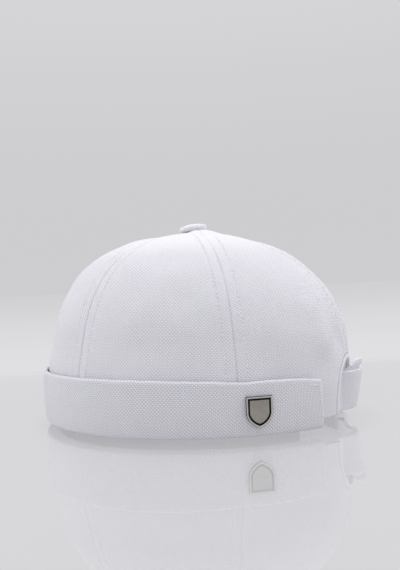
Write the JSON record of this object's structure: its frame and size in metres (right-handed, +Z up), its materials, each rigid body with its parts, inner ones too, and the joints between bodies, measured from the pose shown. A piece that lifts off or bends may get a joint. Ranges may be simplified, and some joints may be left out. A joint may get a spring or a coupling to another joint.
{
  "type": "docker beanie",
  "caption": "Brimless docker cap of sewn canvas panels with a turned-up cuff, a bound back opening with an adjusting strap, a covered button and a small metal badge.",
  "frame": {"origin": "middle of the cap's bounding box, on the surface that it stands on, under the cuff's lower fold", "axes": "+Z up, -Y the cap's front, +X the wearer's left"},
  "size_m": [0.175, 0.2086, 0.1224],
  "materials": {
    "canvas": "plain-woven white cotton canvas, matt",
    "binding_tape": "smooth white cotton tape, matt",
    "pewter": "cast and brushed, with a black groove"
  },
  "bodies": {
    "root": {"panel_front_left": "canvas", "panel_side_left": "canvas", "panel_back_left": "canvas", "panel_back_right": "canvas", "panel_side_right": "canvas", "panel_front_right": "canvas", "opening_binding": "binding_tape", "cuff": "canvas", "strap_outer": "canvas", "strap_inner": "canvas", "top_button": "canvas", "badge": "pewter"}
  },
  "joints": []
}
